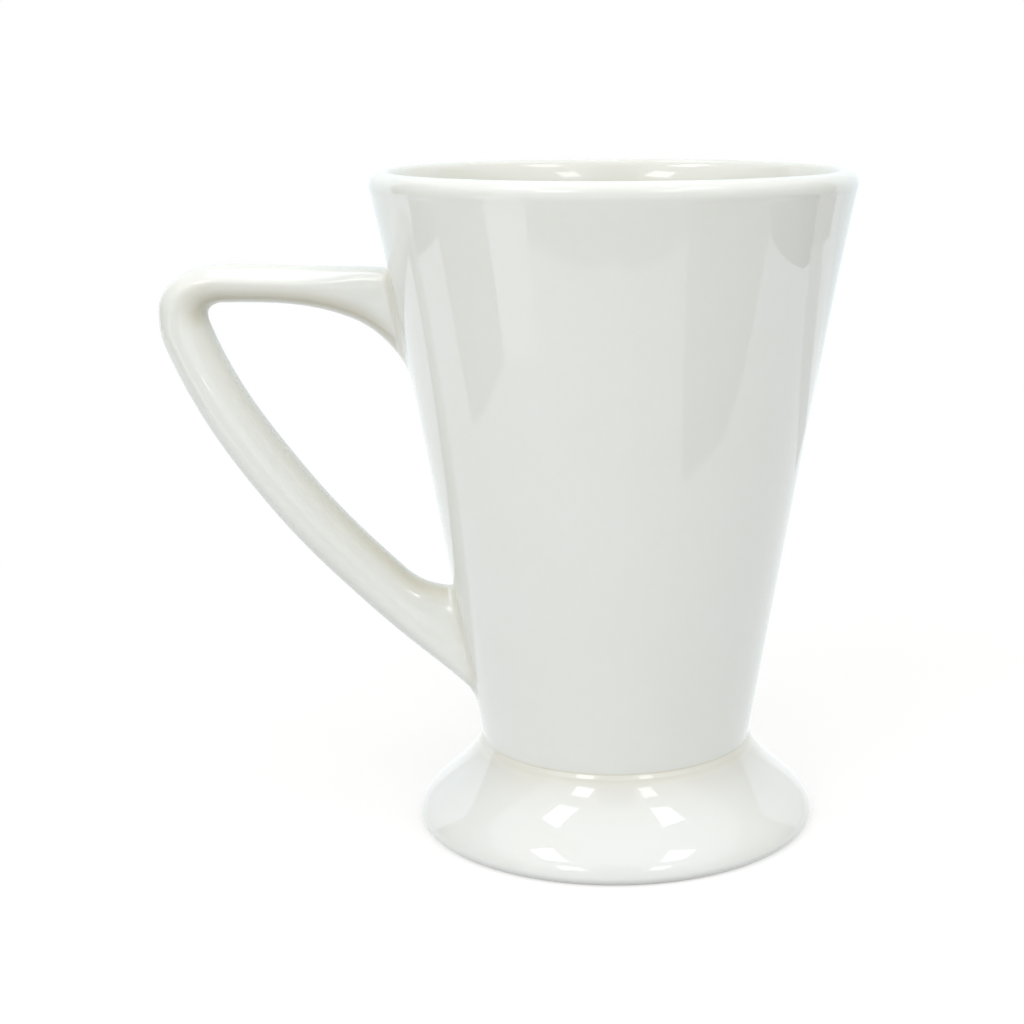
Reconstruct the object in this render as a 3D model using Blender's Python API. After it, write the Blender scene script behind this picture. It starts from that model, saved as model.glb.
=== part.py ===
# Footed coffee mug in glazed stoneware: a tapered cup, a flared hollow foot and a three-cornered
# handle, formed apart and luted together with slip before firing. Metres, +Z up. The mug stands
# on Z = 0 with its handle towards -X, and the origin is the middle of its footprint.

import math

import bmesh
import bpy
from mathutils import Vector
from mathutils.geometry import interpolate_bezier

# Joints between the luted pieces
JOINT_GAP = 0.0003           # kept between a piece and the slip it beds in
SLIP_BED = 0.0012            # thickness of the slip between two pieces
SLIP_FILLET = 0.0024         # radius of the slip wiped round a handle end
SLIP_EDGE = 0.0004           # blunt edge the wiped slip ends in

# Cup
RIM_HEIGHT = 0.1300          # table to the top of the lip
RIM_RADIUS = 0.0467          # outside of the lip
LIP_RADIUS = 0.0027          # full round of the lip
CUP_WALL = 0.0046
CUP_FLOOR = 0.0052
CUP_BASE_RADIUS = 0.0272     # outside of the wall where it stands on the foot
FLOOR_FILLET = 0.0090        # inside corner between wall and floor
RIM_FLARE = 0.00065          # how far the rim kicks out past the straight taper
FLARE_LENGTH = 0.0350        # height over which it does so

# Foot
FOOT_HEIGHT = 0.0162
FOOT_RADIUS = 0.0402         # at its widest
FOOT_EDGE = 0.00055          # round between the widest point and the table
FOOT_EDGE_LEAN = 0.33        # outward run per unit of drop, just above that edge
FOOT_EDGE_PULL = 0.0056      # length over which the edge's lean is felt
FOOT_NECK_STEP = 0.0004      # how far the neck stands out past the cup's base
FOOT_NECK_LEAN = 0.46        # outward run per unit of drop, just below the neck
FOOT_NECK_PULL = 0.0073      # length over which the neck's lean is felt
FOOT_WALL = 0.0052
RING_WIDTH = 0.0040          # flat ring that stands on the table
RING_EDGE = 0.0010           # round inside the ring

# Handle, measured out from the cup's wall, down from its rim and up from its base
HANDLE_OVERHANG = 0.0418     # past the rim
HANDLE_DEPTH = 0.0104        # across the strap
JOINT_DEPTH = 0.0122         # across its two ends
ARM_DROP = 0.0178            # rim down to the top of the arm
ARM_THICKNESS = 0.0075
ARM_DIP = 0.0007             # how much lower the arm's top is at the wall
ARM_ROOT_RUN = 0.0077        # off the wall, where the arm starts to swell towards it
ARM_ROOT_THICKNESS = 0.0105
ARM_ROOT_SWELL = math.radians(21)
ARM_END_SWELL = math.radians(52)
ARM_END_HEIGHT = 0.0220      # of the arm's end on the wall
ELBOW_DROP = 0.0090          # top of the arm down to the outermost point
ELBOW_RUN = 0.0126           # outer bend, along the arm
ELBOW_THICKNESS = 0.0094
ELBOW_INNER_RUN = 0.0032     # inner bend, along the arm
ELBOW_INNER_DROP = 0.0022
BAR_TOP_INSET = 0.0008       # outer edge where the slanting bar leaves the elbow
BAR_TOP_DROP = 0.0155
BAR_TOP_SLOPE = math.radians(69)
BAR_TOP_THICKNESS = 0.0098
BAR_MID_CLEAR = 0.0335       # outer edge off the wall, along the bar
BAR_MID_SHARE = 0.395        # of the way up from the bar's end to its top
BAR_MID_SLOPE = math.radians(52)
BAR_END_CLEAR = 0.0174       # outer edge off the wall, where the bar starts to spread
BAR_END_RISE = 0.0256
BAR_END_SLOPE = math.radians(43.5)
BAR_THICKNESS = 0.0104
BAR_JOINT_TOP_RISE = 0.0294  # of the bar's end on the wall
BAR_JOINT_BOTTOM_RISE = 0.0090
BAR_JOINT_SLOPE = math.radians(39)
SECTION_POWER = 2.3          # 2 is an ellipse, more is squarer
BEND_PULL = 0.36             # share of a bend's chord that its tangents reach

# Facets
TURN_STEPS = 64
CURVE_STEPS = 5
SECTION_STEPS = 24

BASE_Z = FOOT_HEIGHT + SLIP_BED + 2 * JOINT_GAP
FLOOR_Z = BASE_Z + CUP_FLOOR
LIP_Z = RIM_HEIGHT - LIP_RADIUS
CUP_TAPER = (RIM_RADIUS - RIM_FLARE - CUP_BASE_RADIUS) / (LIP_Z - BASE_Z)
FOOT_NECK_RADIUS = CUP_BASE_RADIUS + FOOT_NECK_STEP
HANDLE_BED = SLIP_BED + 2 * JOINT_GAP
SINK = CUP_WALL + HANDLE_BED
HANDLE_REACH = RIM_RADIUS + HANDLE_OVERHANG
ARM_TOP = RIM_HEIGHT - ARM_DROP
BAR_TOP_Z = ARM_TOP - BAR_TOP_DROP
BAR_END_Z = BASE_Z + BAR_END_RISE
BAR_MID_Z = BAR_END_Z + BAR_MID_SHARE * (BAR_TOP_Z - BAR_END_Z)
AXIS_X = HANDLE_OVERHANG / 2


def wall_radius(z):
    rise = max(0.0, 1 - (LIP_Z - z) / FLARE_LENGTH)
    return CUP_BASE_RADIUS + CUP_TAPER * (z - BASE_Z) + RIM_FLARE * rise ** 2


def arc(center_r, center_z, radius, start, end, steps=CURVE_STEPS):
    angles = [start + (end - start) * i / (steps - 1) for i in range(steps)]
    return [(center_r + radius * math.cos(a), center_z + radius * math.sin(a)) for a in angles]


def curve(start, start_pull, end_pull, end, steps=CURVE_STEPS):
    points = interpolate_bezier(*(Vector((r, 0, z)) for r, z in (start, start_pull, end_pull, end)), steps)
    return [(p.x, p.z) for p in points]


def wall_heights(low, high):
    straight_end = max(low, min(high, LIP_Z - FLARE_LENGTH))
    flare = [straight_end + (high - straight_end) * i / CURVE_STEPS for i in range(CURVE_STEPS + 1)]
    return [low] + flare if straight_end > low else flare


def new_object(name, mesh_data, material=None):
    mesh = bpy.data.meshes.new(name)
    bmesh.ops.recalc_face_normals(mesh_data, faces=mesh_data.faces)
    mesh_data.to_mesh(mesh)
    mesh_data.free()
    mesh.shade_smooth()
    mesh.set_sharp_from_angle(angle=math.radians(38))
    obj = bpy.data.objects.new(name, mesh)
    bpy.context.scene.collection.objects.link(obj)
    obj.parent = bpy.data.objects["mug_axis"]
    if material:
        mesh.materials.append(material)
    return obj


def turned(name, outline, closed, material=None):
    bm = bmesh.new()
    verts = [bm.verts.new((r, 0, z)) for r, z in outline]
    pairs = list(zip(verts, verts[1:]))
    if closed:
        pairs.append((verts[-1], verts[0]))
    edges = [bm.edges.new(pair) for pair in pairs]
    bmesh.ops.spin(bm, geom=verts + edges, axis=(0, 0, 1), cent=(0, 0, 0), angle=2 * math.pi,
                   steps=TURN_STEPS, use_merge=True)
    bmesh.ops.remove_doubles(bm, verts=bm.verts, dist=1e-6)
    return new_object(name, bm, material)


def lofted(name, rings, material=None):
    bm = bmesh.new()
    loops = []
    for ring in rings:
        verts = [bm.verts.new(p) for p in ring]
        loops.append([bm.edges.new((a, b)) for a, b in zip(verts, verts[1:] + verts[:1])])
    for lower, upper in zip(loops, loops[1:]):
        bmesh.ops.bridge_loops(bm, edges=lower + upper)
    for end in (loops[0], loops[-1]):
        bmesh.ops.contextual_create(bm, geom=end)
    return new_object(name, bm, material)


def cutter(obj):
    obj.hide_render = True
    obj.display_type = "WIRE"
    return obj


def cut(obj, tool):
    change = obj.modifiers.new("cut by " + tool.name, "BOOLEAN")
    change.operation = "DIFFERENCE"
    change.object = tool


def glaze(name, color, roughness):
    material = bpy.data.materials.new(name)
    material.use_nodes = True
    shader = material.node_tree.nodes["Principled BSDF"]
    shader.inputs["Base Color"].default_value = (*color, 1)
    shader.inputs["Roughness"].default_value = roughness
    shader.inputs["Metallic"].default_value = 0
    return material


def cup_body(material):
    wall = [(wall_radius(z), z) for z in wall_heights(BASE_Z, LIP_Z)]
    lip = arc(RIM_RADIUS - LIP_RADIUS, LIP_Z, LIP_RADIUS, 0, math.pi, 2 * CURVE_STEPS + 1)
    lean = math.atan(CUP_TAPER)
    corner_z = FLOOR_Z + FLOOR_FILLET
    corner_r = wall_radius(corner_z) - CUP_WALL - FLOOR_FILLET / math.cos(lean)
    corner = arc(corner_r, corner_z, FLOOR_FILLET, -lean, -math.pi / 2)
    thickening = (2 * LIP_RADIUS - CUP_WALL) / (LIP_Z - corner[0][1])
    heights = wall_heights(corner[0][1], LIP_Z)[1:-1]
    inside = [(wall_radius(z) - CUP_WALL - thickening * (z - corner[0][1]), z) for z in reversed(heights)]
    outline = [(0, BASE_Z)] + wall + lip[1:] + inside + corner + [(0, FLOOR_Z)]
    return turned("cup_body", outline, False, material)


def foot(material):
    lean = math.atan(FOOT_EDGE_LEAN)
    ring_outside = FOOT_RADIUS - FOOT_EDGE
    ring_inside = ring_outside - RING_WIDTH
    neck_inside = FOOT_NECK_RADIUS - FOOT_WALL
    edge = arc(ring_outside, FOOT_EDGE, FOOT_EDGE, lean, -math.pi / 2)
    ring = arc(ring_inside, RING_EDGE, RING_EDGE, -math.pi / 2, -math.pi + lean)

    def bell(neck, foot_edge):
        return curve((neck, FOOT_HEIGHT),
                     (neck + FOOT_NECK_LEAN * FOOT_NECK_PULL, FOOT_HEIGHT - FOOT_NECK_PULL),
                     (foot_edge[0] - FOOT_EDGE_LEAN * FOOT_EDGE_PULL, foot_edge[1] + FOOT_EDGE_PULL),
                     foot_edge, 2 * CURVE_STEPS)

    outside = bell(FOOT_NECK_RADIUS, edge[0])
    hollow = bell(neck_inside, ring[-1])
    return turned("foot", outside + edge[1:] + ring + hollow[-2::-1], True, material)


def foot_slip_ring(material):
    low = FOOT_HEIGHT + JOINT_GAP
    high = low + SLIP_BED
    foot_side = FOOT_NECK_RADIUS - FOOT_NECK_LEAN * JOINT_GAP
    cup_side = wall_radius(high)
    cove = curve((foot_side, low),
                 (foot_side - FOOT_NECK_LEAN * SLIP_BED / 3, low + SLIP_BED / 3),
                 (cup_side - CUP_TAPER * SLIP_BED / 3, high - SLIP_BED / 3),
                 (cup_side, high))
    inside = FOOT_NECK_RADIUS - FOOT_WALL
    return turned("foot_slip_ring", cove + [(inside, high), (inside, low)], True, material)


def wall_cutter(name, offset):
    heights = wall_heights(BASE_Z, LIP_Z)
    outline = [(0, BASE_Z)] + [(wall_radius(z) + offset, z) for z in heights] + [(0, LIP_Z)]
    return cutter(turned(name, outline, False))


def heading(angle):
    return Vector((math.cos(angle), math.sin(angle)))


def edge_line(knots):
    points = []
    for (start, start_angle), (end, end_angle) in zip(knots, knots[1:]):
        pull = BEND_PULL * (end - start).length
        bend = curve(start, start + pull * heading(start_angle), end - pull * heading(end_angle), end)
        points += bend if not points else bend[1:]
    return [Vector(p) for p in points]


def on_wall(z, drop):
    return Vector((SINK - wall_radius(z), z - drop))


def handle_edges():
    arm_end_top = ARM_TOP - ARM_DIP
    arm_end_bottom = arm_end_top - ARM_END_HEIGHT
    arm_under = ARM_TOP - ARM_THICKNESS
    elbow_inside = ELBOW_THICKNESS - HANDLE_REACH
    arm_root = wall_radius(ARM_TOP) + ARM_ROOT_RUN
    bar = []
    for reach, height, slope, thickness in (
            (HANDLE_REACH - BAR_TOP_INSET, BAR_TOP_Z, BAR_TOP_SLOPE, BAR_TOP_THICKNESS),
            (wall_radius(BAR_MID_Z) + BAR_MID_CLEAR, BAR_MID_Z, BAR_MID_SLOPE, BAR_THICKNESS),
            (wall_radius(BAR_END_Z) + BAR_END_CLEAR, BAR_END_Z, BAR_END_SLOPE, BAR_THICKNESS)):
        bar.append((Vector((-reach, height)), thickness * heading(math.pi / 2 - slope), -slope))
    outer = [
        (on_wall(arm_end_top, 0), math.pi),
        (Vector((-arm_root, ARM_TOP - ARM_DIP / 2)), math.pi),
        (Vector((ELBOW_RUN - HANDLE_REACH, ARM_TOP)), math.pi),
        (Vector((-HANDLE_REACH, ARM_TOP - ELBOW_DROP)), -math.pi / 2),
        *((point, angle) for point, across, angle in bar),
        (on_wall(BASE_Z + BAR_JOINT_BOTTOM_RISE, SINK * math.tan(BAR_JOINT_SLOPE)), -BAR_JOINT_SLOPE),
    ]
    inner = [
        (on_wall(arm_end_bottom, SINK * math.tan(ARM_END_SWELL)), math.pi - ARM_END_SWELL),
        (Vector((-arm_root, ARM_TOP - ARM_ROOT_THICKNESS)), math.pi - ARM_ROOT_SWELL),
        (Vector((elbow_inside + ELBOW_INNER_RUN, arm_under)), math.pi),
        (Vector((elbow_inside, arm_under - ELBOW_INNER_DROP)), -math.pi / 2),
        *((point + across, angle) for point, across, angle in bar),
        (on_wall(BASE_Z + BAR_JOINT_TOP_RISE, 0), 0),
    ]
    return edge_line(outer), edge_line(inner)


def section(depth, height):
    points = []
    for i in range(SECTION_STEPS):
        angle = 2 * math.pi * i / SECTION_STEPS
        c = math.cos(angle)
        s = math.sin(angle)
        points.append((math.copysign(abs(c) ** (2 / SECTION_POWER), c) * depth / 2,
                       math.copysign(abs(s) ** (2 / SECTION_POWER), s) * height / 2))
    return points


def strap_depth(point):
    clear = -point.x - wall_radius(point.y)
    return HANDLE_DEPTH + (JOINT_DEPTH - HANDLE_DEPTH) * math.exp(-max(clear, 0) / SINK)


def handle_loft(name, swelling, material=None):
    rings = []
    for outer, inner in zip(*handle_edges()):
        middle = (outer + inner) / 2
        up = (outer - inner).normalized()
        height = (outer - inner).length + 2 * swelling
        ring = []
        for across, along in section(strap_depth(middle) + 2 * swelling, height):
            point = middle + along * up
            ring.append((point.x, across, point.y))
        rings.append(ring)
    return lofted(name, rings, material)


def handle(material):
    obj = handle_loft("handle", 0, material)
    cut(obj, wall_cutter("handle_end_cutter", HANDLE_BED))
    return obj


def meets_wall(edge, offset):
    for near, far in zip(edge, edge[1:]):
        near_clear = -near.x - wall_radius(near.y) - offset
        far_clear = -far.x - wall_radius(far.y) - offset
        if near_clear <= 0 <= far_clear:
            return near.lerp(far, near_clear / (near_clear - far_clear))
    raise ValueError("the handle's edge does not reach the wall")


def slip_collar(name, upper_edge, lower_edge, material):
    rise_end = math.acos(SLIP_EDGE / SLIP_FILLET)
    steps = [(-CUP_WALL / 2, rise_end)]
    steps += [(None, rise_end * (1 - i / (CURVE_STEPS - 1))) for i in range(CURVE_STEPS)]
    rings = []
    for sunk, angle in steps:
        offset = JOINT_GAP + SLIP_FILLET * (1 - math.sin(angle))
        spread = JOINT_GAP + SLIP_EDGE + SLIP_FILLET * (1 - math.cos(angle))
        top = meets_wall(upper_edge, offset)
        bottom = meets_wall(lower_edge, offset)
        middle_z = (top.y + bottom.y) / 2
        ring = []
        for y, rise in section(JOINT_DEPTH + 2 * spread, top.y - bottom.y + 2 * spread):
            z = middle_z + rise
            radius = wall_radius(z) + (offset if sunk is None else sunk)
            ring.append((-math.sqrt(radius ** 2 - y ** 2), y, z))
        rings.append(ring)
    obj = lofted(name, rings, material)
    cut(obj, bpy.data.objects["slip_wall_cutter"])
    cut(obj, bpy.data.objects["slip_handle_cutter"])
    return obj


def handle_slip(material):
    wall_cutter("slip_wall_cutter", JOINT_GAP)
    strap = cutter(handle_loft("slip_handle_cutter", JOINT_GAP))
    cut(strap, wall_cutter("slip_bed_cutter", JOINT_GAP + SLIP_BED))
    outer, inner = handle_edges()
    slip_collar("handle_upper_slip", outer, inner, material)
    slip_collar("handle_lower_slip", inner[::-1], outer[::-1], material)


def main():
    for obj in list(bpy.data.objects):
        bpy.data.objects.remove(obj)
    axis = bpy.data.objects.new("mug_axis", None)
    bpy.context.scene.collection.objects.link(axis)
    axis.location = (AXIS_X, 0, 0)
    cup_body(glaze("cup glaze", (0.80, 0.80, 0.755), 0.12))
    foot(glaze("foot glaze", (0.82, 0.82, 0.78), 0.12))
    handle(glaze("handle glaze", (0.80, 0.80, 0.755), 0.12))
    foot_slip_ring(glaze("foot joint glaze", (0.74, 0.73, 0.66), 0.12))
    handle_slip(glaze("handle joint glaze", (0.70, 0.68, 0.59), 0.12))


main()
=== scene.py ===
import math

import bmesh
import bpy
import numpy as np
from mathutils import Matrix, Vector
from mathutils.geometry import interpolate_bezier
from mathutils.kdtree import KDTree


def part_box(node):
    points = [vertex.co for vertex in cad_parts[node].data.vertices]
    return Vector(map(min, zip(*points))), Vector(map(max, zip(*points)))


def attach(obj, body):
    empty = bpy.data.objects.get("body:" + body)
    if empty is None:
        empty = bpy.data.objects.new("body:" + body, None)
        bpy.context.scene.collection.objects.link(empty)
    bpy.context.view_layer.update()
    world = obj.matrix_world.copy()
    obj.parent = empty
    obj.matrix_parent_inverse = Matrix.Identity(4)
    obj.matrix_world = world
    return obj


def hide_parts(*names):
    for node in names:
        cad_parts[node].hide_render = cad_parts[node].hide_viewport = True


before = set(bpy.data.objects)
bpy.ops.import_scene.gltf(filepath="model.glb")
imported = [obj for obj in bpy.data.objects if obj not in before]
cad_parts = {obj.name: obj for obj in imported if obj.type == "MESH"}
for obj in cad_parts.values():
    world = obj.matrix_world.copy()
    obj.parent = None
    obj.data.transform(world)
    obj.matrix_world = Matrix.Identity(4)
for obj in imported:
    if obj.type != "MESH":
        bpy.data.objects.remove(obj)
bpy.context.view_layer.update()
print("frame:", len(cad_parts), "clay and slip solids loaded")

scene = bpy.context.scene
cupLow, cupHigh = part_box("cup_body")
mugAxis = (cupLow.x + cupHigh.x) / 2        # the turned axis stands here, at y = 0


# outlines are lists of (radius, height); edges of the handle are lists of (x from the axis, height)
def roundPoints(centre, radius, startAngle, endAngle, count):
    angles = np.radians(np.linspace(startAngle, endAngle, count))
    return [(centre[0] + radius * math.cos(a), centre[1] + radius * math.sin(a)) for a in angles]


def bendPoints(start, startPull, endPull, end, count):
    corners = [Vector((p[0], 0, p[1])) for p in (start, startPull, endPull, end)]
    return [(p.x, p.z) for p in interpolate_bezier(*corners, count)]


def straightPoints(start, end, count):
    return [tuple(p) for p in np.linspace(start, end, count)]


# node trees: a node, its settings, and what goes into its sockets
def addNode(tree, kind, feeds=None, **settings):
    node = tree.nodes.new(kind)
    for name, value in settings.items():
        setattr(node, name, value)
    for socket, feed in (feeds or {}).items():
        if isinstance(feed, bpy.types.NodeSocket):
            tree.links.new(feed, node.inputs[socket])
        else:
            node.inputs[socket].default_value = feed
    return node


def addMath(tree, operation, *feeds):
    return addNode(tree, "ShaderNodeMath", dict(enumerate(feeds)), operation=operation).outputs[0]


def addVectorMath(tree, operation, *feeds):
    node = addNode(tree, "ShaderNodeVectorMath", operation=operation)
    for socket, feed in zip([s for s in node.inputs if s.enabled], feeds):
        if isinstance(feed, bpy.types.NodeSocket):
            tree.links.new(feed, socket)
        else:
            socket.default_value = feed
    return node.outputs["Value" if operation in ("DOT_PRODUCT", "LENGTH") else "Vector"]


def newTree(name, sockets):
    tree = bpy.data.node_groups.new(name, "GeometryNodeTree")
    for label, kind in sockets:
        tree.interface.new_socket(label, in_out="INPUT", socket_type="NodeSocket" + kind)
    tree.interface.new_socket("Geometry", in_out="OUTPUT", socket_type="NodeSocketGeometry")
    return tree, tree.nodes.new("NodeGroupInput")


def keepValues(tree, geometry, values):
    node = addNode(tree, "GeometryNodeCaptureAttribute", {0: geometry})
    for name, (kind, socket) in values.items():
        node.capture_items.new(kind, name)
        tree.links.new(socket, node.inputs[name])
    return node


def finishTree(tree, geometry, material):
    merged = addNode(tree, "GeometryNodeMergeByDistance", {"Geometry": geometry, "Distance": 1e-6})
    smooth = addNode(tree, "GeometryNodeSetShadeSmooth", {"Geometry": merged.outputs[0]})
    real = addNode(tree, "GeometryNodeRealizeInstances", {"Geometry": smooth.outputs[0]})
    glazed = addNode(tree, "GeometryNodeSetMaterial", {"Geometry": real.outputs[0], "Material": material})
    addNode(tree, "NodeGroupOutput", {0: glazed.outputs[0]})


def bakeTree(name, seedMesh, tree, values):
    seed = bpy.data.objects.new(name + "Seed", seedMesh)
    scene.collection.objects.link(seed)
    change = seed.modifiers.new(tree.name, "NODES")
    change.node_group = tree
    for item in tree.interface.items_tree:
        if item.in_out == "INPUT" and item.name in values:
            change[item.identifier] = values[item.name]
    ready = seed.evaluated_get(bpy.context.evaluated_depsgraph_get())
    mesh = bpy.data.meshes.new_from_object(ready)
    seed.modifiers.remove(change)
    bpy.data.objects.remove(seed)
    mesh.name = name
    return addPiece(name, mesh)


def addPiece(name, mesh):
    bm = bmesh.new()
    bm.from_mesh(mesh)
    bmesh.ops.recalc_face_normals(bm, faces=bm.faces)
    bm.to_mesh(mesh)
    bm.free()
    mesh.shade_smooth()
    piece = bpy.data.objects.new(name, mesh)
    scene.collection.objects.link(piece)
    return piece


def lineMesh(name, points, closed=False):
    count = len(points)
    edges = [(i, (i + 1) % count) for i in range(count if closed else count - 1)]
    mesh = bpy.data.meshes.new(name)
    mesh.from_pydata(points, edges, [])
    return mesh


# turned form: every point of the outline goes once round the mug's axis
def makeTurnedTree():
    tree, given = newTree("turned form", [
        ("Outline", "Geometry"), ("Turn Steps", "Int"), ("Axis Offset", "Float"), ("Finish", "Material")])
    outline = addNode(tree, "GeometryNodeMeshToCurve", {"Mesh": given.outputs["Outline"]})
    place = addNode(tree, "GeometryNodeInputPosition").outputs[0]
    shape = keepValues(tree, outline.outputs[0], {"shape": ("VECTOR", place)})
    wheel = addNode(tree, "GeometryNodeCurvePrimitiveCircle", {
        "Resolution": given.outputs["Turn Steps"], "Radius": 1.0}, mode="RADIUS")
    turn = keepValues(tree, wheel.outputs[0], {"turn": ("VECTOR", place)})
    swept = addNode(tree, "GeometryNodeCurveToMesh", {
        "Curve": turn.outputs[0], "Profile Curve": shape.outputs[0]})
    spot = addNode(tree, "ShaderNodeSeparateXYZ", {0: shape.outputs["shape"]})
    around = addVectorMath(tree, "SCALE", turn.outputs["turn"], spot.outputs["X"])
    up = addNode(tree, "ShaderNodeCombineXYZ", {
        "X": given.outputs["Axis Offset"], "Z": spot.outputs["Z"]}).outputs[0]
    moved = addNode(tree, "GeometryNodeSetPosition", {
        "Geometry": swept.outputs[0], "Position": addVectorMath(tree, "ADD", around, up)})
    finishTree(tree, moved.outputs[0], given.outputs["Finish"])
    return tree


turnedTree = makeTurnedTree()


def turnPiece(name, outline, closed, material, steps):
    seedMesh = lineMesh(name + "Outline", [(r, 0, z) for r, z in outline], closed)
    return bakeTree(name, seedMesh, turnedTree, {
        "Turn Steps": steps, "Axis Offset": mugAxis, "Finish": material})


# cup
cup = {
    "rimHeight": cupHigh.z,
    "rimRadius": (cupHigh.x - cupLow.x) / 2,
    "lipRadius": 0.0027,
    "lipTop": 0.0024,         # how far in from the rim its highest line lies
    "lipPull": 0.55,          # share of that, how full the lip is rounded
    "lipShoulder": 0.0015,    # where the wall starts to turn into the lip, below the lip's middle
    "shoulderPull": 0.0007,
    "lipWidest": 0.0003,      # the widest line, above the lip's middle
    "widestPull": 0.0008,
    "lipInside": [(0, 90), (0.9, 50), (1.3, 36), (1.7, 27.5), (2.4, 22), (3.2, 20), (5.2, 15), (8, 11)],
    "baseHeight": cupLow.z,
    "baseRadius": 0.0272,
    "flare": 0.00065,
    "flareLength": 0.0350,
    "wall": 0.0046,
    "floor": 0.0052,
    "floorFillet": 0.0090,
    "cornerStep": 0.00002,    # keeps the smooth shading of the lowest corner to itself
    "wallSteps": 96, "shoulderSteps": 10, "lipSteps": 18, "lipInsideSteps": 49, "insideSteps": 64,
    "filletSteps": 20, "floorSteps": 14, "underSteps": 22,
    "turnSteps": 240,
}
cup["lipHeight"] = cup["rimHeight"] - cup["lipRadius"]
cup["taper"] = ((cup["rimRadius"] - cup["flare"] - cup["baseRadius"])
                / (cup["lipHeight"] - cup["baseHeight"]))


def wallRadius(z):
    kick = np.maximum(0, 1 - (cup["lipHeight"] - z) / cup["flareLength"])
    return cup["baseRadius"] + cup["taper"] * (z - cup["baseHeight"]) + cup["flare"] * kick ** 2


def cupOutline():
    rim, top, base = cup["rimRadius"], cup["rimHeight"], cup["baseHeight"]
    shoulder = cup["lipHeight"] - cup["lipShoulder"]
    edge = base + cup["cornerStep"]
    wallHeights = [base, edge, *np.linspace(edge, shoulder, cup["wallSteps"])[1:]]
    outside = [(wallRadius(z), z) for z in wallHeights]
    lean = (outside[-1][0] - outside[-2][0]) / (outside[-1][1] - outside[-2][1])
    widest = (rim, cup["lipHeight"] + cup["lipWidest"])
    crown = (rim - cup["lipTop"], top)
    pull = cup["lipPull"] * cup["lipTop"]
    rounded = bendPoints(outside[-1],
                         (outside[-1][0] + cup["shoulderPull"] * lean, shoulder + cup["shoulderPull"]),
                         (rim, widest[1] - cup["widestPull"]), widest, cup["shoulderSteps"])[1:]
    rounded += bendPoints(widest, (rim, widest[1] + pull), (crown[0] + pull, top), crown, cup["lipSteps"])[1:]
    floorHeight = base + cup["floor"]
    wallLean = math.atan(cup["taper"])
    filletHeight = floorHeight + cup["floorFillet"]
    filletRadius = wallRadius(filletHeight) - cup["wall"] - cup["floorFillet"] / math.cos(wallLean)
    fillet = roundPoints((filletRadius, filletHeight), cup["floorFillet"], -math.degrees(wallLean), -90,
                         cup["filletSteps"])
    run, leans = np.array(cup["lipInside"]).T      # mm along the surface from the crown, lean from upright
    steps = np.linspace(0, run[-1], cup["lipInsideSteps"])
    angle = np.radians(np.interp((steps[1:] + steps[:-1]) / 2, run, leans))
    inward, down = (np.cumsum(f(angle)) * steps[1] / 1000 for f in (np.sin, np.cos))
    lipInside = list(zip(crown[0] - inward, top - down))
    lipFoot = lipInside[-1]
    insideHeights = np.linspace(lipFoot[1], fillet[0][1], cup["insideSteps"])[1:-1]
    insideStart = wallRadius(lipFoot[1]) - lipFoot[0] - cup["wall"]
    share = (insideHeights - fillet[0][1]) / (lipFoot[1] - fillet[0][1])
    inside = [(wallRadius(z) - cup["wall"] - insideStart * k, z) for z, k in zip(insideHeights, share)]
    floorLine = straightPoints(fillet[-1], (0, floorHeight), cup["floorSteps"])[1:]
    under = straightPoints((0, base), (outside[0][0] - cup["cornerStep"], base), cup["underSteps"])
    return under + outside + rounded + lipInside + inside + fillet + floorLine


# foot
foot = {
    "height": 0.0162,
    "radius": 0.03999,
    "edge": 0.0014,
    "edgeLean": 0.4173,
    "edgePull": 0.00389,
    "neckRadius": 0.02757,
    "neckLean": 0.529,
    "neckPull": 0.00774,
    "wall": 0.0052,
    "ringWidth": 0.0029,
    "ringEdge": 0.0010,
    "bellSteps": 56, "hollowSteps": 40, "edgeSteps": 10, "ringEdgeSteps": 8, "ringSteps": 9, "topSteps": 7,
    "turnSteps": 240,
}


def footOutline():
    lean = math.degrees(math.atan(foot["edgeLean"]))
    ringOutside = foot["radius"] - foot["edge"]
    ringInside = ringOutside - foot["ringWidth"]
    edge = roundPoints((ringOutside, foot["edge"]), foot["edge"], lean, -90, foot["edgeSteps"])
    inner = roundPoints((ringInside, foot["ringEdge"]), foot["ringEdge"], -90, lean - 180, foot["ringEdgeSteps"])
    standing = straightPoints(edge[-1], inner[0], foot["ringSteps"])[1:-1]

    def bell(neckRadius, rim, count):
        return bendPoints((neckRadius, foot["height"]),
                          (neckRadius + foot["neckLean"] * foot["neckPull"], foot["height"] - foot["neckPull"]),
                          (rim[0] - foot["edgeLean"] * foot["edgePull"], rim[1] + foot["edgePull"]), rim, count)

    outside = bell(foot["neckRadius"], edge[0], foot["bellSteps"])
    hollow = bell(foot["neckRadius"] - foot["wall"], inner[-1], foot["hollowSteps"])
    top = straightPoints(hollow[0], outside[0], foot["topSteps"])[1:-1]
    return outside + edge[1:] + standing + inner + hollow[-2::-1] + top


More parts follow.
